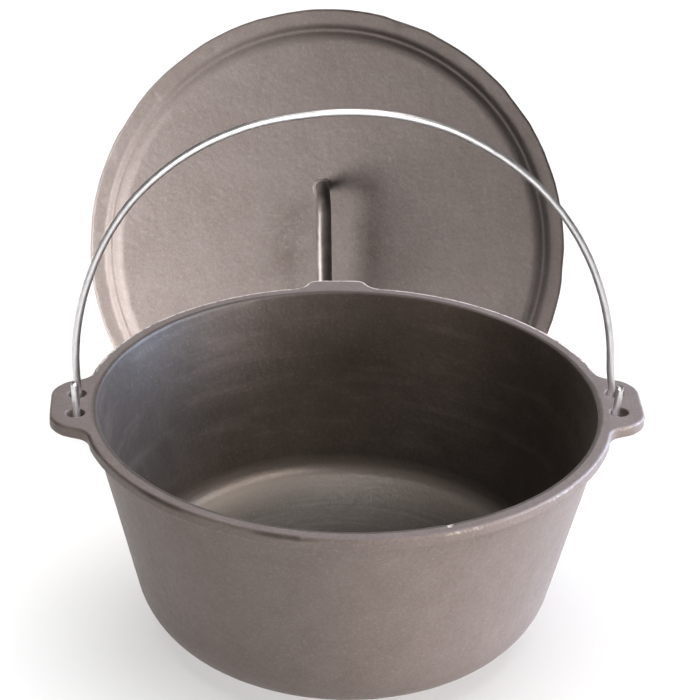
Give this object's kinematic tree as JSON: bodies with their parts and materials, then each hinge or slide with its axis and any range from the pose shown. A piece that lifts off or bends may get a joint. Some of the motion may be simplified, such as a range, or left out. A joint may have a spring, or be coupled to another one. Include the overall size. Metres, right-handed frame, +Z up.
{
  "type": "cast iron dutch oven",
  "caption": "Deep round cast iron dutch oven with two bail ears, a wire bail, and a flanged lift-off lid with a loop handle, stood on edge behind the pot.",
  "frame": {"origin": "centre of the pot's base, on the surface it stands on", "axes": "+Z up; X through the two bail ears, +X to the ear on the right when the rear tab is behind; +Y to the rear tab and the lid"},
  "size_m": [0.337, 0.4304, 0.3172],
  "materials": {
    "pot_iron": "seasoned as-cast iron, satin, finely pebbled",
    "lid_iron": "seasoned as-cast iron, satin, finely pebbled, ground edge",
    "handle_iron": "smooth dark seasoned iron, semi-gloss",
    "bail_wire": "bright galvanised drawn wire"
  },
  "bodies": {
    "pot": {"pot": "pot_iron"},
    "bail": {"bail": "bail_wire"},
    "lid": {"lid": "lid_iron", "lid_handle": "handle_iron"}
  },
  "joints": [
    {"name": "bail_swing", "type": "hinge", "parent": "pot", "child": "bail", "pos_m": [0, 0, 0.1375], "axis": [1, 0, 0], "range_deg": [-28, 28]},
    {"name": "lid_lift", "type": "slide", "parent": "pot", "child": "lid", "axis": [0, 0.4226, 0.9063], "range_m": [0, 0.2]}
  ]
}
